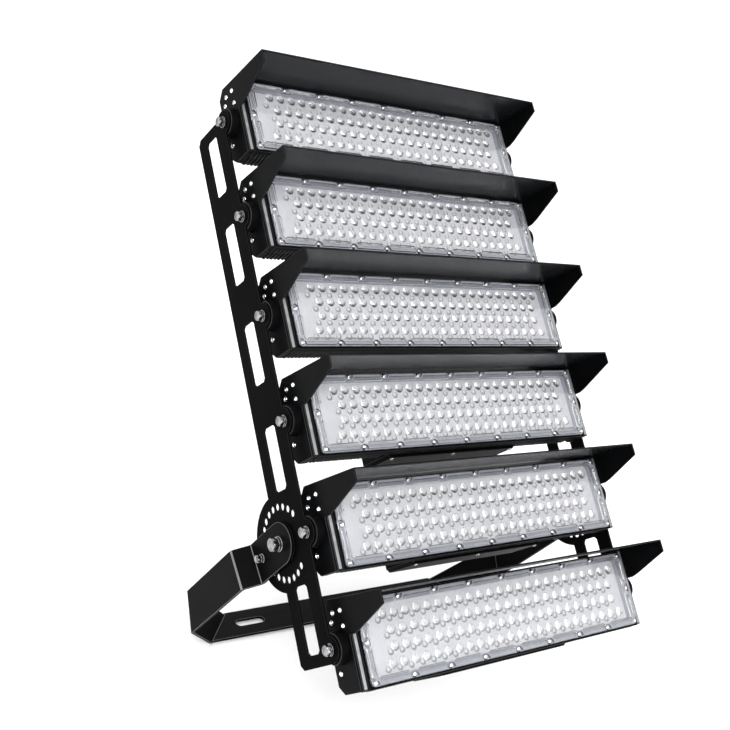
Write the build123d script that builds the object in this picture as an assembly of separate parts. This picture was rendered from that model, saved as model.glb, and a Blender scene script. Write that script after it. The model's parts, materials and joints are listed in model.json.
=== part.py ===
from build123d import *
import os
from math import cos, radians, sin

# Six-module LED stadium floodlight head on a folded strap yoke, in millimetres.
# Row frame: origin at the centre of the yoke web's underside, +X to the right as seen from the front,
# +Y to the rear and +Z up. The head is drawn upright in its own frame, with its front towards -Y and
# the lowest module's bolt axis along X through its origin, and is then leaned back onto the yoke.
# Sizes across the head run outwards from the lens, so that each piece follows the one inside it.

# Head layout
module_count = 6
module_pitch = 148.3
rail_lean = 48.3
pivot_behind = 60.7
pivot_above = 146.8

# Lens
lens_half = 250.0
lens_top = 51.9
lens_bottom = 55.2
lens_height = 6.2
lens_rim = 3.0
lens_skin = 2.4
lens_clip = 5.0
deck_inset = 1.6
notch_radius = 6.5
notch_count = 7

# Housing, a cast tray with a wiring box and fins on its back
housing_margin = 4.0
housing_lip_top = 2.1
housing_lip_bottom = 2.8
housing_front = 28.0
recess_depth = 8.0
floor_thickness = 10.0
tray_wall = 7.0
fin_depth = 38.0
fin_chamfer = 10.0
fin_thickness = 2.4
fins_a_side = 10
fin_margin = 8.0
fin_edge = 3.0
box_half = 123.0
box_beyond_fins = 30.0
box_drop = 4.0
box_lead = 8.0
box_top_setback = 12.0
box_wall = 3.0
box_chamfer = 5.0
wire_hole_radius = 8.0

# LED board
board_thickness = 1.6
board_margin = 3.0

# End plates with a boss for the tilt bolt
end_plate_thickness = 8.0
end_setback = 1.0
end_rear_setback = 6.0
end_rise = 1.5
end_drop = 1.0
end_chamfer = 11.0
boss_radius = 20.0
boss_length = 14.5

# Visor, a folded sheet with a cheek at each end that runs down over the end plate
visor_thickness = 2.0
visor_rear = 8.0
visor_lift = 6.8
visor_drop = 6.1
visor_reach = 106.2
cheek_front = 25.0
cheek_rear = 21.0
cheek_shoulder = 13.0
cheek_nose = 18.0
cheek_knee_reach = 47.0
cheek_knee_height = 15.0
cheek_heel_reach = 36.0
cheek_heel_height = 12.0
cheek_boss_gap = 1.5

# Rails
rail_thickness = 2.5
rail_front = 1.5
rail_depth = 76.5
rail_below = 17.5
rail_above = 9.0
rail_corner = 7.0
ear_radius = 17.0
slot_front = 25.0
slot_depth = 28.0
slot_bridge = 60.3
slot_over_bolt = 4.0
slot_over_disc = 5.0
slot_top_margin = 16.0
slot_corner = 4.0
disc_radius = 65.0
ring_radius = 48.0
ring_hole_radius = 5.0
ring_step = 15.0
ring_holes_forward = 8
ring_holes_back = 10

# Yoke strap
strap_width = 57.0
strap_thickness = 5.0
pivot_forward = 146.4
pivot_height = 274.1
arm_lean = 30.5
arm_offset = 25.8
jog_start = 70.0
jog_run = 12.0
bend_radius = 4.0
corner_rise = 91.7
corner_run_rear = 100.0
corner_run_front = 50.0
web_depth = 54.0
web_slot_inset = 34.0
web_slot_length = 50.0
web_slot_width = 14.0

# Fasteners; small rounds that repeat have a few flat sides instead of a full circle
round_sides = 10
boss_sides = 18
tab_clearance = 0.2
running_clearance = 0.05
module_bolt_radius = 4.0
module_bolt_depth = 14.0
pivot_bolt_radius = 5.0
lock_bolt_radius = 3.0
head_across_share = 1.7
head_height_share = 0.75
nut_height = 6.0
nut_overrun = 1.6

# Worked-out places
housing_half = lens_half + housing_margin
housing_top = lens_top + housing_lip_top
housing_bottom = lens_bottom + housing_lip_bottom
floor_front = housing_front - recess_depth
floor_back = floor_front - floor_thickness
fin_rear = fin_depth - floor_back
box_rear = fin_rear + box_beyond_fins
box_bottom = housing_bottom + box_drop
end_plate_outer = housing_half + end_plate_thickness
end_bottom = housing_bottom - end_drop
visor_half = end_plate_outer + visor_thickness
visor_rear_height = housing_top + visor_lift
visor_front_height = visor_rear_height - visor_drop
rail_inner = end_plate_outer + boss_length
rail_outer = rail_inner + rail_thickness
rail_top = (module_count - 1) * module_pitch + rail_above
rail_rear = rail_depth - rail_front
slot_length = module_pitch - slot_bridge
tab_inner = rail_outer + tab_clearance
tab_outer = tab_inner + strap_thickness
arm_outer = tab_outer + arm_offset
web_half_rear = arm_outer - corner_run_rear
web_half_front = arm_outer - corner_run_front
half_strap = strap_width / 2
half_web = web_depth / 2
arm_fold_rear = (pivot_height + half_strap * sin(radians(arm_lean)) - corner_rise) / cos(radians(arm_lean))
lean = radians(rail_lean)
head_y = -pivot_forward - pivot_above * sin(lean) - pivot_behind * cos(lean)
head_z = pivot_height - pivot_above * cos(lean) + pivot_behind * sin(lean)
head_place = Pos(0, head_y, head_z) * Rot(X=-rail_lean)
ring_zero = rail_lean + arm_lean - 90
overrun = strap_thickness
pivot_point = Vector(0, -pivot_forward, pivot_height)
arm_direction = Vector(0, sin(radians(arm_lean)), -cos(radians(arm_lean)))
across_direction = Vector(0, cos(radians(arm_lean)), sin(radians(arm_lean)))


def module_place(number):
    """Place of a module's bolt axis; number 1 is the top module."""
    return head_place * Pos(0, 0, (module_count - number) * module_pitch)


def slab(outline, near, far):
    """Extrude an outline drawn in (y, z) between two places along X."""
    return extrude(Plane.YZ.offset(near) * outline, far - near)


def polygon(*points):
    """Face inside a closed run of straight edges."""
    return make_face(Polyline(*points, close=True))


def both_ends(piece):
    """A right-hand piece and its mirror image on the left."""
    return [piece, mirror(piece, Plane.YZ)]


def shank(radius):
    """Many-sided outline of a bolt's shank."""
    return RegularPolygon(radius, round_sides)


def clear_hole(radius):
    """Many-sided outline of a hole that a shank of one radius turns in freely."""
    return RegularPolygon(radius + running_clearance, round_sides, major_radius=False)


def hexagon(radius):
    """Outline of the hex head or nut that goes with a shank of one radius."""
    return RegularPolygon(head_across_share * radius, 6, major_radius=False)


def bolt(radius, seat, tip):
    """Hex-head bolt along X with its head seated at one place and its shank ending at another."""
    head = slab(hexagon(radius), seat, seat + head_height_share * 2 * radius)
    return head + slab(shank(radius), tip, seat)


def export(name, solids):
    """Write one node from its separate solids."""
    pieces = [solid for piece in solids for solid in piece.solids()]
    node = pieces[0] if len(pieces) == 1 else Compound(children=pieces)
    export_step(node, os.path.join("parts", name + ".step"))


def wiring_box():
    """Hollow box on the housing's back, lower than the fins, and the wire hole into it from the recess."""
    outline = polygon(
        (-floor_back, housing_top - box_top_setback),
        (box_rear, housing_top - box_top_setback),
        (box_rear, -box_bottom),
        (box_lead - floor_back, -box_bottom),
        (box_lead - floor_back, fin_edge - housing_bottom),
        (-floor_back, fin_edge - housing_bottom),
    )
    block = slab(outline, -box_half, box_half)
    block = chamfer(block.edges().filter_by(Axis.Y).group_by(Axis.Z)[0], box_chamfer)
    hollow_outline = offset(outline, -box_wall, kind=Kind.INTERSECTION)
    hollow = slab(hollow_outline, box_wall + box_chamfer - box_half, box_half - box_wall - box_chamfer)
    wire_hole = extrude(Plane.XZ.offset(floor_front) * RegularPolygon(wire_hole_radius, round_sides),
                        -floor_thickness - 2 * box_wall)
    return block, hollow, wire_hole


def housing():
    """Cast tray with a lamp recess in front, and upright fins on each side of a wiring box behind."""
    depth = housing_front - floor_back
    body_outline = Rectangle(2 * housing_half, housing_top + housing_bottom)
    middle = (housing_top - housing_bottom) / 2
    front_plane = Plane.XZ.offset(housing_front)
    tray = extrude(front_plane * Pos(0, middle) * body_outline, -depth)
    recess_width = 2 * (housing_half - tray_wall)
    recess_height = housing_top + housing_bottom - 2 * tray_wall
    recess = extrude(front_plane * Pos(0, middle) * Rectangle(recess_width, recess_height), -recess_depth)
    top = housing_top - fin_edge
    bottom = housing_bottom - fin_edge
    fin_outline = polygon(
        (-floor_back - fin_edge, top),
        (fin_rear - fin_chamfer, top),
        (fin_rear, top - fin_chamfer),
        (fin_rear, fin_chamfer - bottom),
        (fin_rear - fin_chamfer, -bottom),
        (-floor_back - fin_edge, -bottom),
    )
    fin = slab(fin_outline, -fin_thickness / 2, fin_thickness / 2)
    fin_reach = housing_half - fin_margin
    fin_step = (fin_reach - box_half) / fins_a_side
    fins = [both_ends(Pos(fin_reach - place * fin_step, 0, 0) * fin) for place in range(fins_a_side)]
    block, hollow, wire_hole = wiring_box()
    return (tray - recess).fuse(block, *sum(fins, [])) - hollow - wire_hole


def led_board():
    """Flat board on the floor of the housing's recess."""
    width = 2 * (housing_half - tray_wall - board_margin)
    height = housing_top + housing_bottom - 2 * (tray_wall + board_margin)
    middle = (housing_top - housing_bottom) / 2
    return extrude(Plane.XZ.offset(floor_front) * Pos(0, middle) * Rectangle(width, height), board_thickness)


def lens_outline(inset):
    """Lens outline with clipped corners, set in by a margin."""
    half = lens_half - inset
    top = lens_top - inset
    bottom = lens_bottom - inset
    return polygon(
        (lens_clip - half, top),
        (half - lens_clip, top),
        (half, top - lens_clip),
        (half, lens_clip - bottom),
        (half - lens_clip, -bottom),
        (lens_clip - half, -bottom),
        (-half, lens_clip - bottom),
        (-half, top - lens_clip),
    )


def lens():
    """Clear cover: a flat rim under a raised deck with a notch at each screw, open behind."""
    rim = extrude(Plane.XZ.offset(housing_front) * lens_outline(0), lens_rim)
    deck = extrude(Plane.XZ.offset(housing_front) * lens_outline(deck_inset), lens_height)
    hollow = extrude(Plane.XZ.offset(housing_front) * lens_outline(deck_inset + notch_radius + lens_skin),
                     lens_height - lens_skin)
    notch = extrude(Plane.XZ.offset(housing_front) * RegularPolygon(notch_radius, 6), lens_height)
    notch_step = 2 * (lens_half - lens_clip) / (notch_count + 1)
    notches = []
    for place in range(notch_count):
        along = (place - (notch_count - 1) / 2) * notch_step
        notches += [Pos(along, 0, lens_top) * notch, Pos(along, 0, -lens_bottom) * notch]
    middle = (lens_top - lens_bottom) / 2
    notches += [Pos(lens_half, 0, middle) * notch, Pos(-lens_half, 0, middle) * notch]
    return rim + deck.cut(*notches) - hollow


def visor():
    """Folded sheet hood: a sloping roof with a cheek turned down at each end, round the boss."""
    roof_outline = polygon(
        (visor_rear, visor_rear_height - visor_thickness),
        (visor_rear, visor_rear_height),
        (-visor_reach, visor_front_height),
        (-visor_reach, visor_front_height - visor_thickness),
    )
    roof = slab(roof_outline, -visor_half, visor_half)
    cheek_outline = polygon(
        (visor_rear, visor_rear_height),
        (-visor_reach, visor_front_height),
        (-visor_reach, visor_front_height - cheek_nose),
        (-cheek_knee_reach, cheek_knee_height),
        (-cheek_heel_reach, cheek_heel_height),
        (-cheek_front, cheek_heel_height),
        (-cheek_front, -end_bottom),
        (cheek_rear - end_chamfer, -end_bottom),
        (cheek_rear, end_chamfer - end_bottom),
        (cheek_rear, visor_rear_height - cheek_shoulder),
    )
    cheek_outline -= RegularPolygon(boss_radius + cheek_boss_gap, boss_sides, major_radius=False)
    cheek = slab(cheek_outline, visor_half - visor_thickness, visor_half)
    return roof.fuse(*both_ends(cheek))


def end_plate():
    """Right-hand cast end plate with the boss that the tilt bolt screws into."""
    front = housing_front - end_setback
    rear = fin_rear - end_rear_setback
    top = housing_top + end_rise
    outline = polygon(
        (-front, top),
        (rear - end_chamfer, top),
        (rear, top - end_chamfer),
        (rear, end_chamfer - end_bottom),
        (rear - end_chamfer, -end_bottom),
        (-front, -end_bottom),
    )
    plate = slab(outline, housing_half, end_plate_outer)
    boss = slab(RegularPolygon(boss_radius, boss_sides), end_plate_outer, rail_inner)
    bore = slab(clear_hole(module_bolt_radius), rail_inner - module_bolt_depth, rail_inner)
    return plate + boss - bore


def module_bolt():
    """Right-hand tilt bolt, headed outside the rail and screwed into the end plate's boss."""
    return bolt(module_bolt_radius, rail_outer, rail_inner - module_bolt_depth)


def rail():
    """Right-hand side rail: a slotted plate with an ear at each tilt bolt and a locking disc."""
    outline = polygon(
        (-rail_front, -rail_below),
        (rail_rear - rail_corner, -rail_below),
        (rail_rear, rail_corner - rail_below),
        (rail_rear, rail_top - rail_corner),
        (rail_rear - rail_corner, rail_top),
        (-rail_front, rail_top),
    )
    pivot = Pos(pivot_behind, pivot_above)
    outline += pivot * Circle(disc_radius)
    slot_middle = slot_front + slot_depth / 2
    for number in range(module_count):
        height = number * module_pitch
        outline += Pos(0, height) * Circle(ear_radius)
    for number in range(module_count):
        height = number * module_pitch
        outline -= Pos(0, height) * clear_hole(module_bolt_radius)
    lowest_slot_top = pivot_above - disc_radius + slot_over_disc
    highest_slot_top = rail_top - slot_top_margin
    bolt_slot_tops = [number * module_pitch + slot_over_bolt for number in range(module_count)]
    slot_tops = [min(top, highest_slot_top) for top in bolt_slot_tops if top - slot_length > pivot_above]
    slot = chamfer(Rectangle(slot_depth, slot_length).vertices(), slot_corner)
    for slot_top in [lowest_slot_top, *slot_tops]:
        outline -= Pos(slot_middle, slot_top - slot_length / 2) * slot
    outline -= pivot * clear_hole(pivot_bolt_radius)
    for place in range(-ring_holes_forward, ring_holes_back + 1):
        angle = radians(ring_zero + place * ring_step)
        hole = RegularPolygon(ring_hole_radius, round_sides)
        outline -= pivot * Pos(ring_radius * cos(angle), ring_radius * sin(angle)) * hole
    return slab(outline, rail_inner, rail_outer)


def strap_side(fold_rear, fold_front):
    """Right-hand end of the yoke strap: round tab, joggle and arm, folded from one flat bar."""
    tab_middle = tab_inner + strap_thickness / 2
    arm_middle = arm_outer - strap_thickness / 2
    run = FilletPolyline(
        (-half_strap, tab_middle),
        (jog_start, tab_middle),
        (jog_start + jog_run, arm_middle),
        (fold_front, arm_middle),
        radius=bend_radius + strap_thickness / 2,
    )
    side_plane = Plane(pivot_point, x_dir=arm_direction, z_dir=-across_direction)
    bar = extrude(side_plane * trace(run, strap_thickness), half_strap, both=True)
    flat_plane = Plane(pivot_point, x_dir=arm_direction, z_dir=(1, 0, 0))
    outline = Circle(half_strap) + polygon(
        (0, -half_strap),
        (fold_front, -half_strap),
        (fold_rear, half_strap),
        (0, half_strap),
    )
    outline -= clear_hole(pivot_bolt_radius)
    outline -= Pos(ring_radius, 0) * clear_hole(lock_bolt_radius)
    return bar & extrude(flat_plane * outline, arm_outer + overrun)


def folded_plate(*corners):
    """Flat stretch of the strap, drawn by the corners of its outer face and thickened inwards."""
    face = Face(Wire.make_polygon(corners))
    return extrude(face, strap_thickness, dir=inward(face))


def inward(face):
    """Normal of a strap face that points into the yoke."""
    normal = face.normal_at()
    towards = pivot_point - face.center()
    return normal if normal.dot(towards) > 0 else -normal


def yoke_bracket():
    """Flat bar folded into a yoke: a web, two slanting corners, two arms and two joggled tabs."""
    web_rear = Vector(web_half_rear, half_web, 0)
    web_front = Vector(web_half_front, -half_web, 0)
    arm_face = pivot_point + Vector(arm_outer, 0, 0)
    arm_rear = arm_face + arm_direction * arm_fold_rear + across_direction * half_strap
    corner_normal = (web_front - web_rear).cross(arm_rear - web_rear)
    front_edge = arm_face - across_direction * half_strap
    fold_front = corner_normal.dot(web_rear - front_edge) / corner_normal.dot(arm_direction)
    arm_front = front_edge + arm_direction * fold_front
    corner = folded_plate(web_rear, web_front, arm_front, arm_rear)
    side = strap_side(arm_fold_rear, fold_front)
    web = folded_plate(
        web_rear,
        web_front,
        Vector(-web_half_front, -half_web, 0),
        Vector(-web_half_rear, half_web, 0),
    )
    slot = extrude(SlotOverall(web_slot_length, web_slot_width), strap_thickness)
    slot_place = web_half_rear - web_slot_inset
    return web.cut(*both_ends(Pos(slot_place, 0, 0) * slot)).fuse(*both_ends(corner), *both_ends(side))


def pivot_bolt():
    """Right-hand yoke pivot bolt, through the tab and the rail."""
    tip = rail_inner - nut_height - nut_overrun
    return Pos(pivot_point) * bolt(pivot_bolt_radius, tab_outer, tip)


def pivot_nut():
    """Right-hand nut on the pivot bolt, against the rail's inner face."""
    outline = hexagon(pivot_bolt_radius) - clear_hole(pivot_bolt_radius)
    return Pos(pivot_point) * slab(outline, rail_inner - nut_height, rail_inner)


def lock_bolt():
    """Right-hand locking bolt in the tab, drawn back clear of the rail's ring of holes."""
    place = pivot_point + arm_direction * ring_radius
    return Pos(place) * bolt(lock_bolt_radius, tab_outer, tab_inner)


os.makedirs("parts", exist_ok=True)
module_nodes = {
    "housing": [housing()],
    "led_board": [led_board()],
    "lens": [lens()],
    "visor": [visor()],
    "end_plates": both_ends(end_plate()),
    "tilt_bolts": both_ends(module_bolt()),
}
for number in range(1, module_count + 1):
    for kind, solids in module_nodes.items():
        export(f"{kind}_{number}", [module_place(number) * solid for solid in solids])
right_rail = head_place * rail()
export("right_rail", [right_rail])
export("left_rail", [mirror(right_rail, Plane.YZ)])
export("yoke_bracket", [yoke_bracket()])
export("yoke_pivot_bolts", both_ends(pivot_bolt()))
export("yoke_pivot_nuts", both_ends(pivot_nut()))
export("yoke_lock_bolts", both_ends(lock_bolt()))
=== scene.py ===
import json
from math import asin, cos, pi, radians, sin, sqrt

import bmesh
import bpy
from mathutils import Matrix, Vector
from mathutils.geometry import delaunay_2d_cdt


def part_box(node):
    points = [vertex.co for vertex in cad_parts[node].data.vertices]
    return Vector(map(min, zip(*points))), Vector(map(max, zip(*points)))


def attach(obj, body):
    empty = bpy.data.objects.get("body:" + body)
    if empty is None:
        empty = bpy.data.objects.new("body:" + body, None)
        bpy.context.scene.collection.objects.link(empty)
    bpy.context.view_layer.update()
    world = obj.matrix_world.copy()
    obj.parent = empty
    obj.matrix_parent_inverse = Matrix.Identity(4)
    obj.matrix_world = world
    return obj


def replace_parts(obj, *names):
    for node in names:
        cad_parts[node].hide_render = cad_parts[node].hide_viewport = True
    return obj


# Looks for a six-module LED stadium floodlight head on a strap yoke.
# Pieces of a module are drawn once in millimetres, upright about the module's tilt axis: x to the right,
# y to the rear and z up the rails. Each is then stood on its module by the joint's own place.

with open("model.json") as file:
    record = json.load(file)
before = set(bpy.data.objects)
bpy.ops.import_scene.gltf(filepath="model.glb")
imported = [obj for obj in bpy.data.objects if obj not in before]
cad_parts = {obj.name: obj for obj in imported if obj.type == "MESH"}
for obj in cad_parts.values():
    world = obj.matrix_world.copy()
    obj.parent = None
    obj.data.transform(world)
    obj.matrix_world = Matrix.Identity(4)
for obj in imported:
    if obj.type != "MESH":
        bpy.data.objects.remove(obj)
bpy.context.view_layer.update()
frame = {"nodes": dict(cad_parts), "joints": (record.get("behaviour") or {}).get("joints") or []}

# Frame; the weld's reach and the bevels are in metres
metre = 0.001
smooth_angle = radians(34)
weld_reach = 0.00001
bevel_segments = 2
bevel_least_angle = radians(32)
housing_bevel = 0.0005
end_plate_bevel = 0.0008
visor_bevel = 0.0004
rail_bevel = 0.0005
strap_bevel = 0.0009
rail_lean = radians(48.3)
module_count = 6
joint_places = {joint["name"]: Vector(joint["pos_m"]) for joint in frame["joints"]}

# Camera, fitted to the photograph
camera_place = Vector((-1.0365, -1.0705, 1.0491))
camera_right = Vector((0.7966, -0.5362, 0.2791))
camera_forward = Vector((0.6044, 0.6979, -0.3842))
camera_lens = 52.5
camera_sensor = 36.0

# Stage: each lamp has a place and a disc's size in metres, and a power in watts
floor_half = 60.0
world_strength = 1.35
lamp_target = Vector((0, 0, 0.4))
lamps = (
    ("key", (-1.3, -1.6, 2.4), 1.4, 45),
    ("fill", (0.4, -2.0, 1.2), 1.6, 14),
    ("back", (0.6, 1.9, 1.8), 1.6, 20),
)

# Lens
lens_half = 250.0
lens_top = 51.9
lens_bottom = 55.2
lens_seat = 28.6
lens_rim_front = 30.6
lens_front = 34.2
lens_under = 31.6
lens_corner = 5.0
corner_steps = 5
fill_reach = 0.00001
fill_inside = 1
deck_inset = 1.6
cavity_inset = 9.0
corner_bite = 8.0
notch_radius = 6.6
notch_pitch = 61.25
notch_columns = 7
notch_steps = 8
end_notch_height = -1.65
dome_radius = 6.6
dome_height = 4.6
dome_sides = 20
dome_rings = 5
dome_pitch = 18.7
dome_row_heights = (29.05, 8.55, -11.85, -32.35)
dome_row_counts = (24, 23, 23, 24)
pad_length = 48.0
pad_width = 6.8
pad_edge = 4.6
pad_corner = 3.2
pad_sink = 1.2
pad_slope = 1.4
end_pad_length = 30.0
end_pad_gap = 10.0
lens_screw_radius = 2.9
lens_screw_height = 2.6
lens_screw_inset = 4.8
# Small flat dark discs on the rim outside the long edges' screws
dark_disc_radius = 2.3
dark_disc_height = 0.4
dark_disc_inset = 2.5

# Reflector frame under the lens's rim
reflector_back = 28.02
reflector_front = 28.55
reflector_outer_inset = 0.7
reflector_lip_inset = 8.0
reflector_foot_inset = 9.5
reflector_wall = 1.0
reflector_foot = 21.7

# Board and chips
board_front = 21.6
chip_half = 2.3
chip_height = 0.8
window_half = 1.5
window_height = 0.3
stud_drop = 6.3
stud_radius = 4.4
stud_height = 0.5
stud_cap_radius = 2.7
# The white cap sits up and to the left on its grey stud, leaving a grey crescent of painted shade at the
# lower right
stud_cap_shade_offset = 0.9
stud_cap_height = 0.3

# Fins between the CAD's own, short ones in front of the wiring box, and the box's lid
fin_bottom = 55.0
fin_top = 51.0
fin_front = 11.0
fin_rear = 27.6
fin_chamfer = 10.0
fin_thickness = 1.4
fin_reach = 246.0
fins_a_side = 10
box_half = 123.0
box_front = 2.0
box_bottom = 62.0
box_top = 42.0
box_rear = 58.0
lid_margin = 6.0
lid_corner = 5.0
lid_thickness = 1.4
lid_chamfer = 0.6
lid_screw_inset = 7.0
stub_bottom = 57.4
stub_count = 39
rib_front = 21.0
rib_rear = 10.0
rib_bottom = 58.7
rib_count = 81

# Ends of the modules
end_plate_inner = 254.0
end_plate_outer = 262.0
end_plate_front = 27.0
end_plate_top = 55.5
end_plate_bottom = 57.0
cheek_outer = 264.0
edge_strip_depth = 0.3
edge_strip_inset = 1.8
sleeve_radius = 20.4
sleeve_inner = 18.0
sleeve_ridge = 21.0
sleeve_foot = 1.5
sleeve_sides = 48
end_screw_radius = 3.4
end_screw_height = 1.9
end_screw_places = ((-16.0, 44.0), (-16.0, 24.5), (1.0, 43.0), (7.5, 32.0), (9.0, -31.0))
base_screw_radius = 2.6
base_screw_height = 1.6
base_screw_setback = 4.0
base_screw_columns = (-114.0, 0.0, 114.0)

# Thin sheet under each visor's roof, a lighter satin black painted with the lens's light on the roof
lit_sheet_half = 261.7
lit_sheet_rear = (30.0, 56.7)
lit_sheet_front = (104.8, 52.7)
lit_sheet_thickness = 0.3

# Bolts; a head's profile is in pairs of shares, of its height and of its radius
round_sides = 32
hex_sides = 36
washer_chamfer_share = 0.25
spring_washer_share = 0.56
hex_flank_share = 0.8
hex_top_shares = ((0.96, 1.0), (1.0, 0.9), (0.95, 0.78))
button_shares = ((0, 1.0), (0.3, 1.0), (0.65, 0.9), (0.9, 0.72), (1.0, 0.56))
socket_share = 0.46
socket_floor_share = 0.45
rail_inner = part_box("right_rail")[0].x / metre
rail_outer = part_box("right_rail")[1].x / metre
tab_stand_off = 5.2
tab_outer = rail_outer + tab_stand_off
arm_angle = radians(30.5)
ring_radius = 48.0
washer_thickness = 1.6
spring_thickness = 2.0
tab_washer_thickness = 2.4
tab_spring_thickness = 3.2
tilt_across = 13.0
tilt_head = 5.3
tilt_washer = 8.0
tilt_shank = 4.0
pivot_across = 17.0
pivot_head = 8.0
pivot_washer = 10.5
pivot_shank = 5.0
pivot_nut = 8.0
nut_chamfer = 0.7
bolt_overrun = 1.5
lock_across = 10.0
lock_head = 5.5
lock_washer = 6.5
lock_shank = 3.0

# Finishes; noise scales are in cycles a metre, and the grain's depth is in metres
noise_low = 0.3
noise_high = 0.7
cloud_detail = 5.0
grain_detail = 2.0
grain_depth = 0.0003
# Bends whose faces point this way are painted pale, a painted highlight along the yoke's folds
bend_middle = radians(28.4)
bend_highlight_from = 0.975
bend_highlight_to = 0.990
strap_specular = 0.02
strap_cloud = 14
strap_grain = 900
strap_grain_strength = 0.12
strap_rough = (0.34, 0.44)
strap_tones = ((0.0019, 0.0019, 0.0023), (0.0037, 0.0037, 0.0042))
bend_highlight_tones = ((0.10, 0.10, 0.102), (0.20, 0.20, 0.205))
visor_tint = (0.88, 0.97, 1.0, 1)
lens_transmission = 0.94
lens_index = 1.49
# The lens's colour runs with the way each face points against this direction: pale toward the upper left as a
# painted highlight, grey toward the lower right as painted shade; the tones are places on that run
lens_painted_shade_direction = (0.66, 0.0, -0.75)
lens_green_share = 1.003
lens_blue_share = 1.025
lens_flow = 170
lens_flow_detail = 3.0
lens_flow_strength = 0.05
lens_rough = (0.03, 0.08)
speckle_tones = (0.94, 1.0)
deck_painted_shading_tones = ((0.0, 1.0), (0.36, 1.0), (0.45, 0.96), (0.5, 0.94), (0.58, 0.78), (0.72, 0.31), (1.0, 0.20))
panel_painted_shading_tones = ((0.0, 0.95), (0.5, 0.72), (1.0, 0.2))

# Directions that a turned piece's own X axis is laid along
rightward = Matrix.Identity(4)
leftward = Matrix.Rotation(pi, 4, "Z")
frontward = Matrix.Rotation(-pi / 2, 4, "Z")
rearward = Matrix.Rotation(pi / 2, 4, "Z")
downward = Matrix.Rotation(pi / 2, 4, "Y")


def module_matrix(number):
    """Place of a module in the row frame; number 1 is the top module."""
    place = joint_places[f"module_{number}_tilt"]
    return Matrix.Translation(place) @ Matrix.Rotation(-rail_lean, 4, "X")


class Shells:
    """Closed shells gathered into one mesh, in millimetres."""

    def __init__(self):
        self.points = []
        self.faces = []
        self.finish = []
        self.current_finish = 0

    def add(self, points):
        first = len(self.points)
        self.points += [Vector(point) for point in points]
        return list(range(first, len(self.points)))

    def face(self, corners):
        self.faces.append(tuple(corners))
        self.finish.append(self.current_finish)

    def bridge(self, lower, upper):
        """Quads between two rings of the same count."""
        count = len(lower)
        for place in range(count):
            after = (place + 1) % count
            self.face((lower[place], lower[after], upper[after], upper[place]))

    def loft(self, rings, closed=False):
        """Skin over a run of rings, capped at both ends or closed into a ring."""
        indices = [self.add(ring) for ring in rings]
        for lower, upper in zip(indices, indices[1:]):
            self.bridge(lower, upper)
        if closed:
            self.bridge(indices[-1], indices[0])
        else:
            self.face(reversed(indices[0]))
            self.face(indices[-1])

    def mesh(self, name):
        made = bpy.data.meshes.new(name)
        made.from_pydata([point * metre for point in self.points], [], self.faces)
        made.polygons.foreach_set("material_index", self.finish)
        made.polygons.foreach_set("use_smooth", [True] * len(self.faces))
        shell = bmesh.new()
        shell.from_mesh(made)
        bmesh.ops.recalc_face_normals(shell, faces=shell.faces)
        shell.to_mesh(made)
        shell.free()
        made.set_sharp_from_angle(angle=smooth_angle)
        return made


def ring(place, radius, sides, across=None):
    """Ring of points about the X axis; across makes it a hexagon of that width, as far as radius reaches."""
    points = []
    for number in range(sides):
        angle = 2 * pi * number / sides
        reach = radius
        if across:
            reach = min(radius, across / 2 / cos((angle + pi / 6) % (pi / 3) - pi / 6))
        points.append(Vector((place, reach * cos(angle), reach * sin(angle))))
    return points


def laid(direction, place):
    """Matrix that lays a turned piece along a direction from a place."""
    return Matrix.Translation(Vector(place)) @ direction


def turned(shells, profile, matrix, sides=round_sides, closed=False):
    """Shell turned about its X axis from (place, radius) pairs, or (place, radius, hexagon width) ones."""
    rings = [[matrix @ point for point in ring(entry[0], entry[1], sides, *entry[2:])] for entry in profile]
    shells.loft(rings, closed=closed)


def washer(shells, matrix, start, thickness, inner, outer):
    """Flat ring with a small chamfer on its rim."""
    chamfer = washer_chamfer_share * thickness
    profile = ((start, inner), (start, outer), (start + thickness - chamfer, outer),
               (start + thickness, outer - chamfer), (start + thickness, inner))
    turned(shells, profile, matrix, closed=True)


def hex_head(shells, matrix, start, across, height):
    """Hex head or nut with a turned chamfer and a shallow dished top."""
    corner = across / sqrt(3)
    rim = across / 2
    flanks = [(start, corner, across), (start + hex_flank_share * height, corner, across)]
    top = [(start + rise * height, reach * rim) for rise, reach in hex_top_shares]
    turned(shells, flanks + top, matrix, sides=hex_sides)


def bolt_set(shells, matrix, across, height, washer_radius, shank, flat, spring):
    """Hex head on a spring washer and a flat washer."""
    washer(shells, matrix, 0, flat, shank, washer_radius)
    washer(shells, matrix, flat, spring, shank, spring_washer_share * across)
    hex_head(shells, matrix, flat + spring, across, height)


def socket_screw(shells, matrix, radius, height):
    """Button-head screw with a hex socket."""
    across = 2 * socket_share * radius
    button = [(rise * height, reach * radius) for rise, reach in button_shares]
    socket = [(height, radius, across), (socket_floor_share * height, radius, across)]
    turned(shells, button + socket, matrix, sides=hex_sides)


def prism(shells, outline, near, far):
    """Outline in (y, z) run along X between two places."""
    shells.loft([[Vector((place, y, z)) for y, z in outline] for place in (near, far)])


def piece(name, mesh, materials, body, slot, matrix=None):
    """Object that rides on a body and takes the given materials; its slot is not used."""
    made = bpy.data.objects.new(name, mesh)
    bpy.context.scene.collection.objects.link(made)
    if not mesh.materials:
        for material in materials:
            mesh.materials.append(material)
    if matrix is not None:
        made.matrix_world = matrix
    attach(made, body)
    return made


def start_material(name):
    """New material with its node tree's nodes and links."""
    material = bpy.data.materials.new(name)
    material.use_nodes = True
    return material, material.node_tree.nodes, material.node_tree.links


def noise_node(nodes, links, scale, detail):
    """Noise in the object's own coordinates."""
    coordinates = nodes.new("ShaderNodeTexCoord")
    texture = nodes.new("ShaderNodeTexNoise")
    texture.inputs["Scale"].default_value = scale
    texture.inputs["Detail"].default_value = detail
    links.new(coordinates.outputs["Object"], texture.inputs["Vector"])
    return texture


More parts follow.
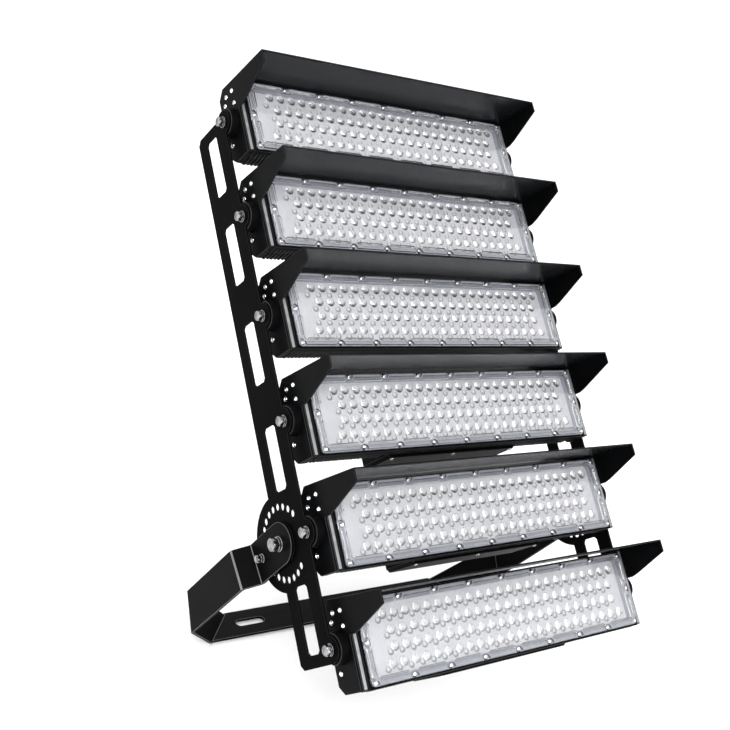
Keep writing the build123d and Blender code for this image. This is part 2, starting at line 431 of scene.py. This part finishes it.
def vary_colour(nodes, links, texture, low, high, socket):
    """Runs a socket between two colours with the noise."""
    ramp = nodes.new("ShaderNodeValToRGB")
    for element, place, colour in zip(ramp.color_ramp.elements, (noise_low, noise_high), (low, high)):
        element.position = place
        element.color = (*colour, 1)
    links.new(texture.outputs["Fac"], ramp.inputs["Fac"])
    links.new(ramp.outputs["Color"], socket)


def vary_value(nodes, links, texture, low, high, socket):
    """Runs a socket between two values with the noise."""
    spread = nodes.new("ShaderNodeMapRange")
    spread.inputs["From Min"].default_value = noise_low
    spread.inputs["From Max"].default_value = noise_high
    spread.inputs["To Min"].default_value = low
    spread.inputs["To Max"].default_value = high
    links.new(texture.outputs["Fac"], spread.inputs["Value"])
    links.new(spread.outputs["Result"], socket)


def bump(nodes, links, texture, strength, shader):
    """Fine relief from the noise."""
    node = nodes.new("ShaderNodeBump")
    node.inputs["Strength"].default_value = strength
    node.inputs["Distance"].default_value = grain_depth
    links.new(texture.outputs["Fac"], node.inputs["Height"])
    links.new(node.outputs["Normal"], shader.inputs["Normal"])


def coated(name, low, high, rough, cloud, grain, grain_strength, metallic=0.0, specular=0.5):
    """Painted or bare metal with cloudy colour, uneven gloss and a fine grain."""
    material, nodes, links = start_material(name)
    shader = nodes["Principled BSDF"]
    shader.inputs["Metallic"].default_value = metallic
    shader.inputs["Specular IOR Level"].default_value = specular
    clouds = noise_node(nodes, links, cloud, cloud_detail)
    vary_colour(nodes, links, clouds, low, high, shader.inputs["Base Color"])
    grains = noise_node(nodes, links, grain, grain_detail)
    vary_value(nodes, links, grains, *rough, shader.inputs["Roughness"])
    bump(nodes, links, grains, grain_strength, shader)
    return material


def strap_paint_bend_highlight(name):
    """Black powder coat with a painted highlight: pale along the bends between the yoke's arms and tabs,
    picked by the way the bend faces.
    """
    material, nodes, links = start_material(name)
    shader = nodes["Principled BSDF"]
    shader.inputs["Specular IOR Level"].default_value = strap_specular
    clouds = noise_node(nodes, links, strap_cloud, cloud_detail)
    mix = nodes.new("ShaderNodeMix")
    mix.data_type = "RGBA"
    vary_colour(nodes, links, clouds, *strap_tones, mix.inputs["A"])
    vary_colour(nodes, links, clouds, *bend_highlight_tones, mix.inputs["B"])
    # Painted highlight on the bends, by the way each face points
    coordinates = nodes.new("ShaderNodeTexCoord")
    nearest = nodes.new("ShaderNodeMath")
    nearest.operation = "MAXIMUM"
    for way, socket in zip((-1, 1), nearest.inputs):
        facing = nodes.new("ShaderNodeVectorMath")
        facing.operation = "DOT_PRODUCT"
        facing.inputs[1].default_value = (way * cos(bend_middle), -sin(bend_middle) * sin(arm_angle),
                                          sin(bend_middle) * cos(arm_angle))
        links.new(coordinates.outputs["Normal"], facing.inputs[0])
        links.new(facing.outputs["Value"], socket)
    bend_highlight_mask = nodes.new("ShaderNodeMapRange")
    bend_highlight_mask.inputs["From Min"].default_value = bend_highlight_from
    bend_highlight_mask.inputs["From Max"].default_value = bend_highlight_to
    links.new(nearest.outputs["Value"], bend_highlight_mask.inputs["Value"])
    links.new(bend_highlight_mask.outputs["Result"], mix.inputs["Factor"])
    links.new(mix.outputs["Result"], shader.inputs["Base Color"])
    grains = noise_node(nodes, links, strap_grain, grain_detail)
    vary_value(nodes, links, grains, *strap_rough, shader.inputs["Roughness"])
    bump(nodes, links, grains, strap_grain_strength, shader)
    return material


def lens_plastic_painted_shading(name, tones):
    """Clear plastic; faces turned to the upper left are painted pale as a painted highlight and faces turned
    to the lower right grey as painted shade, by a fixed direction.
    """
    material, nodes, links = start_material(name)
    shader = nodes["Principled BSDF"]
    shader.inputs["Transmission Weight"].default_value = lens_transmission
    shader.inputs["IOR"].default_value = lens_index
    coordinates = nodes.new("ShaderNodeTexCoord")
    facing = nodes.new("ShaderNodeVectorMath")
    facing.operation = "DOT_PRODUCT"
    facing.inputs[1].default_value = lens_painted_shade_direction
    links.new(coordinates.outputs["Normal"], facing.inputs[0])
    spread = nodes.new("ShaderNodeMapRange")
    spread.inputs["From Min"].default_value = -1
    links.new(facing.outputs["Value"], spread.inputs["Value"])
    # Painted highlight and painted shade, by the way each face points
    painted_shading = nodes.new("ShaderNodeValToRGB")
    for place, _ in tones[1:-1]:
        painted_shading.color_ramp.elements.new(place)
    for element, (place, tone) in zip(painted_shading.color_ramp.elements, tones):
        element.position = place
        element.color = (tone, tone * lens_green_share, tone * lens_blue_share, 1)
    links.new(spread.outputs["Result"], painted_shading.inputs["Fac"])
    flow = noise_node(nodes, links, lens_flow, lens_flow_detail)
    mix = nodes.new("ShaderNodeMix")
    mix.data_type = "RGBA"
    mix.blend_type = "MULTIPLY"
    mix.inputs["Factor"].default_value = 1
    links.new(painted_shading.outputs["Color"], mix.inputs["A"])
    low, high = [(tone, tone, tone) for tone in speckle_tones]
    vary_colour(nodes, links, flow, low, high, mix.inputs["B"])
    links.new(mix.outputs["Result"], shader.inputs["Base Color"])
    vary_value(nodes, links, flow, *lens_rough, shader.inputs["Roughness"])
    bump(nodes, links, flow, lens_flow_strength, shader)
    return material


# Each finish has its dark and its light colour, its roughness range, and then the scale of its clouds, the
# scale and strength of its grain and, for metals, how metallic it is
rail_black = coated("rail_black", (0.0011, 0.0011, 0.0013), (0.0022, 0.0022, 0.0025), (0.36, 0.46),
                    14, 900, 0.12, specular=0.010)
strap_black = strap_paint_bend_highlight("strap_black")
# The yoke's rounded edges are pale grey, a painted highlight along the edges as well as edge wear
strap_edge = coated("strap_edge", (0.030, 0.030, 0.031), (0.085, 0.085, 0.088), (0.30, 0.42),
                    40, 900, 0.10, specular=0.3)
# Rounded edges of the housings, end plates, visors and rails are a little lighter: a painted highlight along
# the edges together with edge wear
edge_wear_and_highlight = coated("edge_wear_and_highlight", (0.008, 0.008, 0.009), (0.026, 0.026, 0.028), (0.34, 0.46),
                   60, 900, 0.10, specular=0.2)
cast_black = coated("cast_black", (0.0018, 0.0018, 0.0021), (0.0034, 0.0034, 0.0038), (0.42, 0.55),
                    18, 600, 0.22, specular=0.02)
fin_black = coated("fin_black", (0.008, 0.008, 0.009), (0.016, 0.016, 0.017), (0.4, 0.5),
                   40, 600, 0.15, specular=0.1)
visor_black = coated("visor_black", (0.0018, 0.0019, 0.0022), (0.0034, 0.0036, 0.0041), (0.36, 0.46),
                     14, 900, 0.12, specular=0.03)
# A lighter, satin copy of the visor's black: painted light under the roof where the lens's light falls
visor_painted_light_satin = coated("visor_painted_light_satin", (0.0040, 0.0046, 0.0052), (0.0070, 0.0080, 0.0091), (0.21, 0.27),
                     14, 700, 0.03, specular=0.16)
visor_painted_light_satin.node_tree.nodes["Principled BSDF"].inputs["Specular Tint"].default_value = visor_tint
stainless = coated("stainless", (0.14, 0.14, 0.144), (0.34, 0.34, 0.35), (0.14, 0.30),
                   160, 1500, 0.05, metallic=1.0)
bright_steel = coated("bright_steel", (0.80, 0.80, 0.81), (0.92, 0.92, 0.93), (0.12, 0.22),
                      160, 1500, 0.04, metallic=1.0)
# Pale metal of the strips down the end plates' fronts, a painted highlight along their front edges
edge_strip_highlight = coated("edge_strip_highlight", (0.20, 0.205, 0.21), (0.32, 0.325, 0.33), (0.3, 0.45),
                   120, 1200, 0.06, metallic=0.5)
board_white = coated("board_white", (0.74, 0.735, 0.75), (0.84, 0.835, 0.85), (0.38, 0.5), 30, 700, 0.05)
frame_grey = coated("frame_grey", (0.30, 0.32, 0.37), (0.38, 0.40, 0.46), (0.4, 0.5), 30, 700, 0.05)
chip_body = coated("chip_body", (0.86, 0.86, 0.86), (0.92, 0.92, 0.91), (0.3, 0.4), 200, 900, 0.05)
chip_window = coated("chip_window", (0.90, 0.89, 0.84), (0.95, 0.94, 0.90), (0.25, 0.35), 300, 900, 0.05)
stud_grey = coated("stud_grey", (0.17, 0.175, 0.18), (0.25, 0.255, 0.26), (0.3, 0.4), 200, 900, 0.05)
floor_white = coated("floor_white", (0.95, 0.95, 0.95), (0.97, 0.97, 0.97), (0.8, 0.9),
                     2, 20, 0.0, specular=0.0)
lens_clear = lens_plastic_painted_shading("lens_clear", deck_painted_shading_tones)
lens_panel = lens_plastic_painted_shading("lens_panel", panel_painted_shading_tones)


def rounded_box(half, top, bottom, radius):
    """Outline in (x, z) with rounded corners, anticlockwise."""
    centres = ((half - radius, top - radius, 0), (radius - half, top - radius, 1),
               (radius - half, bottom + radius, 2), (half - radius, bottom + radius, 3))
    points = []
    for x, z, quarter in centres:
        for step in range(corner_steps + 1):
            angle = (quarter + step / corner_steps) * pi / 2
            points.append(Vector((x + radius * cos(angle), z + radius * sin(angle))))
    return points


def rounded_outline(inset):
    """Lens outline set in by a margin."""
    return rounded_box(lens_half - inset, lens_top - inset, inset - lens_bottom, lens_corner)


def notch_places():
    """Columns of the screws along the lens's long edges."""
    return [(column - (notch_columns - 1) / 2) * notch_pitch for column in range(notch_columns)]


def arc(x, z, radius, start, sweep):
    """Points along an arc, in (x, z)."""
    angles = [start + sweep * step / notch_steps for step in range(notch_steps + 1)]
    return [Vector((x + radius * cos(angle), z + radius * sin(angle))) for angle in angles]


def deck_outline():
    """Raised deck's outline with a round bite at each screw and corner, anticlockwise."""
    top = lens_top - deck_inset
    bottom = deck_inset - lens_bottom
    half = lens_half - deck_inset
    points = arc(half, top, corner_bite, 3 * pi / 2, -pi / 2)
    for x in reversed(notch_places()):
        points += arc(x, top, notch_radius, 0, -pi)
    points += arc(-half, top, corner_bite, 0, -pi / 2)
    points += arc(-half, end_notch_height, notch_radius, pi / 2, -pi)
    points += arc(-half, bottom, corner_bite, pi / 2, -pi / 2)
    for x in notch_places():
        points += arc(x, bottom, notch_radius, pi, -pi)
    points += arc(half, bottom, corner_bite, pi, -pi / 2)
    points += arc(half, end_notch_height, notch_radius, 3 * pi / 2, -pi)
    return points


def dome_places():
    """Middles of the domes in (x, z)."""
    places = []
    for height, count in zip(dome_row_heights, dome_row_counts):
        places += [((number - (count - 1) / 2) * dome_pitch, height) for number in range(count)]
    return places


def rectangle(x, z, half_x, half_z):
    """Corners of a rectangle in (x, z)."""
    ways = ((-1, -1), (1, -1), (1, 1), (-1, 1))
    return [(x + way_x * half_x, z + way_z * half_z) for way_x, way_z in ways]


def sunk_pads():
    """Middle and half sizes of the panels along the long edges and beside the screw at each end."""
    pads = []
    columns = notch_places()
    middles = [(left + right) / 2 for left, right in zip(columns, columns[1:])]
    middles = [middles[0] - notch_pitch, *middles, middles[-1] + notch_pitch]
    half_width = pad_width / 2
    for x in middles:
        for z in (lens_top - pad_edge - half_width, pad_edge + half_width - lens_bottom):
            pads.append((x, z, pad_length / 2, half_width))
    end_x = lens_half - pad_edge - half_width
    for x in (-end_x, end_x):
        for way in (-1, 1):
            z = end_notch_height + way * (end_pad_gap + end_pad_length / 2)
            pads.append((x, z, half_width, end_pad_length / 2))
    return pads


def pad_outline(pad, inset):
    """Outline of a sunk panel, set in by a margin."""
    x, z, half_x, half_z = pad
    half_z -= inset
    outline = rounded_box(half_x - inset, z + half_z, z - half_z, pad_corner - inset)
    return [Vector((point.x + x, point.y)) for point in outline]


def inside(point, outline):
    """Whether a point lies in a closed outline."""
    found = False
    for (x0, z0), (x1, z1) in zip(outline, outline[1:] + outline[:1]):
        if (z0 > point[1]) != (z1 > point[1]) and point[0] < x0 + (point[1] - z0) / (z1 - z0) * (x1 - x0):
            found = not found
    return found


def fill(shells, loops, indices, keep):
    """Triangles over the flat between loops, kept where a test on their middle says so."""
    flat = [Vector(point[:2]) for loop in loops for point in loop]
    edges = []
    first = 0
    for loop in loops:
        count = len(loop)
        edges += [(first + number, first + (number + 1) % count) for number in range(count)]
        first += count
    points, _, triangles, point_sources, _, _ = delaunay_2d_cdt(flat, edges, [], fill_inside, fill_reach)
    known = [index for loop in indices for index in loop]
    origin = [sources[0] for sources in point_sources]
    for corners in triangles:
        middle = sum((points[corner] for corner in corners), Vector((0, 0))) / len(corners)
        if keep(middle):
            shells.face([known[origin[corner]] for corner in corners])


def at_depth(outline, depth):
    """Outline in (x, z) stood at a depth in front of the tilt axis."""
    return [Vector((point[0], -depth, point[1])) for point in outline]


def circle(x, z, radius, sides):
    """Ring of points round a dome's middle, in (x, z)."""
    turn = 2 * pi / sides
    return [Vector((x + radius * cos(turn * side), z + radius * sin(turn * side))) for side in range(sides)]


def cap_off(shells, x, z, foot):
    """Spherical dome on the deck above its foot ring."""
    sphere = (dome_radius ** 2 + dome_height ** 2) / (2 * dome_height)
    edge = asin(dome_radius / sphere)
    below = foot
    for level in range(1, dome_rings):
        angle = edge * (1 - level / dome_rings)
        rise = sphere * cos(angle) - sphere + dome_height
        above = shells.add(at_depth(circle(x, z, sphere * sin(angle), dome_sides), lens_front + rise))
        shells.bridge(below, above)
        below = above
    apex = shells.add([(x, -lens_front - dome_height, z)])[0]
    for side in range(dome_sides):
        shells.face((below[side], below[(side + 1) % dome_sides], apex))


def lens_mesh():
    """Clear cover: seated rim, raised deck with screw bites, sunk panels and rows of domes, hollow behind."""
    shells = Shells()
    rim = rounded_outline(0)
    deck = deck_outline()
    domes = dome_places()
    pads = [pad_outline(pad, 0) for pad in sunk_pads()]
    pad_floors = [pad_outline(pad, pad_slope) for pad in sunk_pads()]
    circles = [circle(x, z, dome_radius, dome_sides) for x, z in domes]
    deck_ring = shells.add(at_depth(deck, lens_front))
    feet = [shells.add(at_depth(foot, lens_front)) for foot in circles]
    pad_rings = [shells.add(at_depth(pad, lens_front)) for pad in pads]

    def on_deck(middle):
        return inside(middle, deck) and not any(inside(middle, cover) for cover in [*circles, *pads])

    fill(shells, [deck, *circles, *pads], [deck_ring, *feet, *pad_rings], on_deck)
    for (x, z), foot in zip(domes, feet):
        cap_off(shells, x, z, foot)
    for floor, high in zip(pad_floors, pad_rings):
        low = shells.add(at_depth(floor, lens_front - pad_sink))
        shells.bridge(high, low)
        shells.current_finish = 1
        shells.face(low)
        shells.current_finish = 0
    deck_foot = shells.add(at_depth(deck, lens_rim_front))
    shells.bridge(deck_foot, deck_ring)
    rim_front = shells.add(at_depth(rim, lens_rim_front))
    fill(shells, [rim, deck], [rim_front, deck_foot], lambda middle: not inside(middle, deck))
    rim_back = shells.add(at_depth(rim, lens_seat))
    shells.bridge(rim_back, rim_front)
    cavity = rounded_outline(cavity_inset)
    cavity_low = shells.add(at_depth(cavity, lens_seat))
    shells.bridge(cavity_low, rim_back)
    cavity_high = shells.add(at_depth(cavity, lens_under))
    shells.bridge(cavity_high, cavity_low)
    shells.face(reversed(cavity_high))
    return shells.mesh("lens_cover")


def build_stage():
    """Pale floor, soft lights and the photograph's camera."""
    corners = [(x, y, 0) for x, y in rectangle(0, 0, floor_half, floor_half)]
    floor_mesh = bpy.data.meshes.new("floor")
    floor_mesh.from_pydata(corners, [], [range(len(corners))])
    floor = bpy.data.objects.new("floor", floor_mesh)
    bpy.context.scene.collection.objects.link(floor)
    floor_mesh.materials.append(floor_white)

    world = bpy.data.worlds.new("studio")
    world.use_nodes = True
    background = world.node_tree.nodes["Background"]
    background.inputs["Color"].default_value = (1, 1, 1, 1)
    background.inputs["Strength"].default_value = world_strength
    bpy.context.scene.world = world

    for name, place, size, power in lamps:
        lamp = bpy.data.lights.new(name, "AREA")
        lamp.shape = "DISK"
        lamp.size = size
        lamp.energy = power
        light = bpy.data.objects.new(name, lamp)
        light.location = place
        light.rotation_mode = "QUATERNION"
        light.rotation_quaternion = (lamp_target - Vector(place)).to_track_quat("-Z", "Y")
        bpy.context.scene.collection.objects.link(light)

    lens = bpy.data.cameras.new("camera")
    lens.lens = camera_lens
    lens.sensor_width = camera_sensor
    camera = bpy.data.objects.new("camera", lens)
    right = camera_right.normalized()
    forward = camera_forward.normalized()
    up = right.cross(forward)
    turn = Matrix((right, up, -forward)).transposed()
    camera.matrix_world = Matrix.Translation(camera_place) @ turn.to_4x4()
    bpy.context.scene.collection.objects.link(camera)
    bpy.context.scene.camera = camera
    bpy.context.scene.view_settings.view_transform = "Standard"


def soften(node, width, edge_material):
    """Rounds a CAD node's edges with modifiers and gives the rounding its own finish."""
    weld = node.modifiers.new("weld", "WELD")
    weld.merge_threshold = weld_reach
    rounding = node.modifiers.new("rounding", "BEVEL")
    rounding.width = width
    rounding.segments = bevel_segments
    rounding.limit_method = "ANGLE"
    rounding.angle_limit = bevel_least_angle
    node.data.materials.append(edge_material)
    rounding.material = 1
    node.modifiers.new("normals", "WEIGHTED_NORMAL")


def finish_node(name, material, edge_material=None, width=None):
    """Gives a CAD node its material and, where asked, rounded edges."""
    node = frame["nodes"][name]
    node.data.materials.clear()
    node.data.materials.append(material)
    if width:
        soften(node, width, edge_material)


def lens_screws():
    """Screws in the lens's bites and corners, and a small flat dark disc outside each screw of the long
    edges.
    """
    shells = Shells()
    top = lens_top - lens_screw_inset
    bottom = lens_screw_inset - lens_bottom
    half = lens_half - lens_screw_inset
    places = [(x, z) for x in notch_places() for z in (top, bottom)]
    places += [(x, z) for x in (-half, half) for z in (top, end_notch_height, bottom)]
    for x, z in places:
        socket_screw(shells, laid(frontward, (x, -lens_rim_front, z)), lens_screw_radius, lens_screw_height)
    shells.current_finish = 1
    dark_disc = ((0, dark_disc_radius), (dark_disc_height, dark_disc_radius))
    for x in notch_places():
        for z in (lens_top - dark_disc_inset, dark_disc_inset - lens_bottom):
            turned(shells, dark_disc, laid(frontward, (x, -lens_rim_front, z)))
    return shells.mesh("lens_screws")


def reflector():
    """Grey frame under the lens's rim, with a skirt down to the board."""
    shells = Shells()
    shells.loft([
        at_depth(rounded_outline(reflector_outer_inset), reflector_back),
        at_depth(rounded_outline(reflector_outer_inset), reflector_front),
        at_depth(rounded_outline(reflector_lip_inset), reflector_front),
        at_depth(rounded_outline(reflector_foot_inset), reflector_foot),
        at_depth(rounded_outline(reflector_foot_inset - reflector_wall), reflector_foot),
        at_depth(rounded_outline(reflector_lip_inset - reflector_wall), reflector_back),
    ], closed=True)
    return shells.mesh("reflector")


def led_chips():
    """One chip with a pale window under each dome, and a grey stud with a white cap below it; the cap is set
    up and to the left, so the grey crescent at the stud's lower right is painted shade.
    """
    shells = Shells()
    for x, z in dome_places():
        shells.current_finish = 0
        body = rectangle(x, z, chip_half, chip_half)
        shells.loft([at_depth(body, board_front), at_depth(body, board_front + chip_height)])
        shells.current_finish = 1
        window = rectangle(x, z, window_half, window_half)
        top = board_front + chip_height
        shells.loft([at_depth(window, top), at_depth(window, top + window_height)])
        shells.current_finish = 2
        stud = circle(x, z - stud_drop, stud_radius, dome_sides)
        top = board_front + stud_height
        shells.loft([at_depth(stud, board_front), at_depth(stud, top)])
        shells.current_finish = 0
        # Cap set up and to the left: the grey left at the stud's lower right is painted shade
        cap = circle(x - stud_cap_shade_offset, z - stud_drop + stud_cap_shade_offset, stud_cap_radius, dome_sides)
        shells.loft([at_depth(cap, top), at_depth(cap, top + stud_cap_height)])
    return shells.mesh("led_chips")


def fine_fins():
    """Thin fins between the CAD's own, and short ones under the tray in front of the wiring box."""
    shells = Shells()
    outline = ((-fin_front, fin_top), (fin_rear - fin_chamfer, fin_top),
               (fin_rear, fin_top - fin_chamfer), (fin_rear, fin_chamfer - fin_bottom),
               (fin_rear - fin_chamfer, -fin_bottom), (-fin_front, -fin_bottom))
    half = fin_thickness / 2
    step = (fin_reach - box_half) / fins_a_side
    for number in range(fins_a_side):
        for way in (-1, 1):
            middle = way * (fin_reach - (number + 0.5) * step)
            prism(shells, outline, middle - half, middle + half)
    stub = (fin_front, box_front, stub_bottom, stub_count)
    rib = (rib_front, rib_rear, rib_bottom, rib_count)
    for front, rear, bottom, count in (stub, rib):
        outline = ((-front, -fin_top), (-rear, -fin_top), (-rear, -bottom), (-front, -bottom))
        for number in range(count):
            middle = (number - (count - 1) / 2) * step / 2
            prism(shells, outline, middle - half, middle + half)
    return shells.mesh("fine_fins")


def boss_sleeves():
    """Round sleeve with a foot flange over the boss at each end."""
    shells = Shells()
    length = rail_inner - end_plate_outer
    bevel = sleeve_foot / 2
    profile = ((0, sleeve_inner), (0, sleeve_ridge), (length - 2 * sleeve_foot, sleeve_ridge),
               (length - sleeve_foot - bevel, sleeve_radius), (length - sleeve_foot, sleeve_radius),
               (length - bevel, sleeve_radius - bevel), (length - bevel, sleeve_inner))
    for direction, place in ((rightward, end_plate_outer), (leftward, -end_plate_outer)):
        turned(shells, profile, laid(direction, (place, 0, 0)), sides=sleeve_sides, closed=True)
    return shells.mesh("boss_sleeves")


def end_screws():
    """Bright button screws on the cheeks, under the wiring box's front edge and on its lid."""
    shells = Shells()
    for y, z in end_screw_places:
        for direction, place in ((rightward, cheek_outer), (leftward, -cheek_outer)):
            socket_screw(shells, laid(direction, (place, y, z)), end_screw_radius, end_screw_height)
    for x in base_screw_columns:
        place = (x, base_screw_setback - box_front, -box_bottom)
        socket_screw(shells, laid(downward, place), base_screw_radius, base_screw_height)
    inset = lid_margin + lid_screw_inset
    for x in (inset - box_half, 0, box_half - inset):
        for z in (inset - box_bottom, box_top - inset):
            place = (x, box_rear + lid_thickness, z)
            socket_screw(shells, laid(rearward, place), base_screw_radius, base_screw_height)
    return shells.mesh("end_screws")


def box_lid():
    """Thin lid with rounded corners on the back of the wiring box."""
    shells = Shells()
    rings = []
    for depth, inset in ((0, 0), (lid_thickness - lid_chamfer, 0), (lid_thickness, lid_chamfer)):
        margin = lid_margin + inset
        outline = rounded_box(box_half - margin, box_top - margin, margin - box_bottom, lid_corner)
        rings.append(at_depth(outline, -box_rear - depth))
    shells.loft(rings)
    return shells.mesh("box_lid")


def visor_painted_light_sheet():
    """Thin sheet under the visor's roof in a lighter satin black, a painted light for the lens's light on the
    roof, which also mirrors the lens.
    """
    shells = Shells()
    rear, rear_height = lit_sheet_rear
    front, front_height = lit_sheet_front
    outline = ((-rear, rear_height), (-front, front_height), (-front, front_height - lit_sheet_thickness),
               (-rear, rear_height - lit_sheet_thickness))
    prism(shells, outline, -lit_sheet_half, lit_sheet_half)
    return shells.mesh("visor_painted_light_sheet")


def edge_strips():
    """Pale metal strip down the front of each end plate, a painted highlight along the plate's front edge."""
    shells = Shells()
    front = -end_plate_front - edge_strip_depth
    top = end_plate_top - edge_strip_inset
    bottom = edge_strip_inset - end_plate_bottom
    outline = ((front, top), (-end_plate_front, top), (-end_plate_front, bottom), (front, bottom))
    near = end_plate_inner + edge_strip_inset
    far = end_plate_outer - edge_strip_inset
    prism(shells, outline, near, far)
    prism(shells, outline, -far, -near)
    return shells.mesh("edge_strips")


def tilt_bolts():
    """Tilt bolt with its washers at each end of a module."""
    shells = Shells()
    for direction, place in ((rightward, rail_outer), (leftward, -rail_outer)):
        bolt_set(shells, laid(direction, (place, 0, 0)), tilt_across, tilt_head, tilt_washer, tilt_shank,
                 washer_thickness, spring_thickness)
    return shells.mesh("tilt_bolt_sets")


def yoke_bolts(name, centre, across, head, washer_radius, shank):
    """Bolt with its washers on each of the yoke's tabs."""
    shells = Shells()
    for direction, way in ((rightward, 1), (leftward, -1)):
        matrix = laid(direction, (way * tab_outer, centre[0], centre[1]))
        bolt_set(shells, matrix, across, head, washer_radius, shank,
                 tab_washer_thickness, tab_spring_thickness)
    return shells.mesh(name)


def pivot_nuts(centre):
    """Nut and bolt end inside each rail."""
    shells = Shells()
    for direction, way in ((leftward, 1), (rightward, -1)):
        matrix = laid(direction, (way * rail_inner, centre[0], centre[1]))
        washer(shells, matrix, 0, washer_thickness, pivot_shank, pivot_washer)
        hex_head(shells, matrix, washer_thickness, pivot_across, pivot_nut)
        end = washer_thickness + pivot_nut + bolt_overrun
        tip = ((washer_thickness, pivot_shank), (end - nut_chamfer, pivot_shank),
               (end, pivot_shank - nut_chamfer))
        turned(shells, tip, matrix)
    return shells.mesh("pivot_nut_sets")


build_stage()
for number in range(1, module_count + 1):
    finish_node(f"housing_{number}", cast_black, edge_wear_and_highlight, housing_bevel)
    finish_node(f"led_board_{number}", board_white)
    finish_node(f"end_plates_{number}", cast_black, edge_wear_and_highlight, end_plate_bevel)
    finish_node(f"visor_{number}", visor_black, edge_wear_and_highlight, visor_bevel)
for name in ("left_rail", "right_rail"):
    finish_node(name, rail_black, edge_wear_and_highlight, rail_bevel)
finish_node("yoke_bracket", strap_black, strap_edge, strap_bevel)

# Each row has the piece's name, its mesh and materials, its slot of the record and the node that it replaces
module_pieces = (
    ("lens_cover", lens_mesh(), [lens_clear, lens_panel], "lens", "lens"),
    ("lens_screws", lens_screws(), [bright_steel, fin_black], "steel", None),
    ("reflector", reflector(), [frame_grey], "led_board", None),
    ("led_chips", led_chips(), [chip_body, chip_window, stud_grey], "led_board", None),
    ("fine_fins", fine_fins(), [fin_black], "cast_housing", None),
    ("boss_sleeves", boss_sleeves(), [cast_black], "cast_housing", None),
    ("end_screws", end_screws(), [bright_steel], "steel", None),
    ("box_lid", box_lid(), [cast_black], "cast_housing", None),
    ("edge_strips", edge_strips(), [edge_strip_highlight], "sheet_metal", None),
    ("visor_painted_light_sheet", visor_painted_light_sheet(), [visor_painted_light_satin], "sheet_metal", None),
    ("tilt_bolt_sets", tilt_bolts(), [stainless], "steel", "tilt_bolts"),
)
for number in range(1, module_count + 1):
    for name, mesh, materials, slot, node in module_pieces:
        made = piece(f"{name}_{number}", mesh, materials, f"module_{number}", slot, module_matrix(number))
        if node:
            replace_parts(made, f"{node}_{number}")

pivot = joint_places["frame_tilt"] / metre
pivot_centre = (pivot.y, pivot.z)
lock_centre = (pivot.y + ring_radius * sin(arm_angle), pivot.z - ring_radius * cos(arm_angle))
pivot_mesh = yoke_bolts("pivot_bolt_sets", pivot_centre, pivot_across, pivot_head, pivot_washer, pivot_shank)
lock_mesh = yoke_bolts("lock_bolt_sets", lock_centre, lock_across, lock_head, lock_washer, lock_shank)
yoke_pieces = (
    ("pivot_bolt_sets", pivot_mesh, "yoke_pivot_bolts"),
    ("lock_bolt_sets", lock_mesh, "yoke_lock_bolts"),
    ("pivot_nut_sets", pivot_nuts(pivot_centre), "yoke_pivot_nuts"),
)
for name, mesh, node in yoke_pieces:
    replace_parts(piece(name, mesh, [stainless], "yoke", "steel"), node)
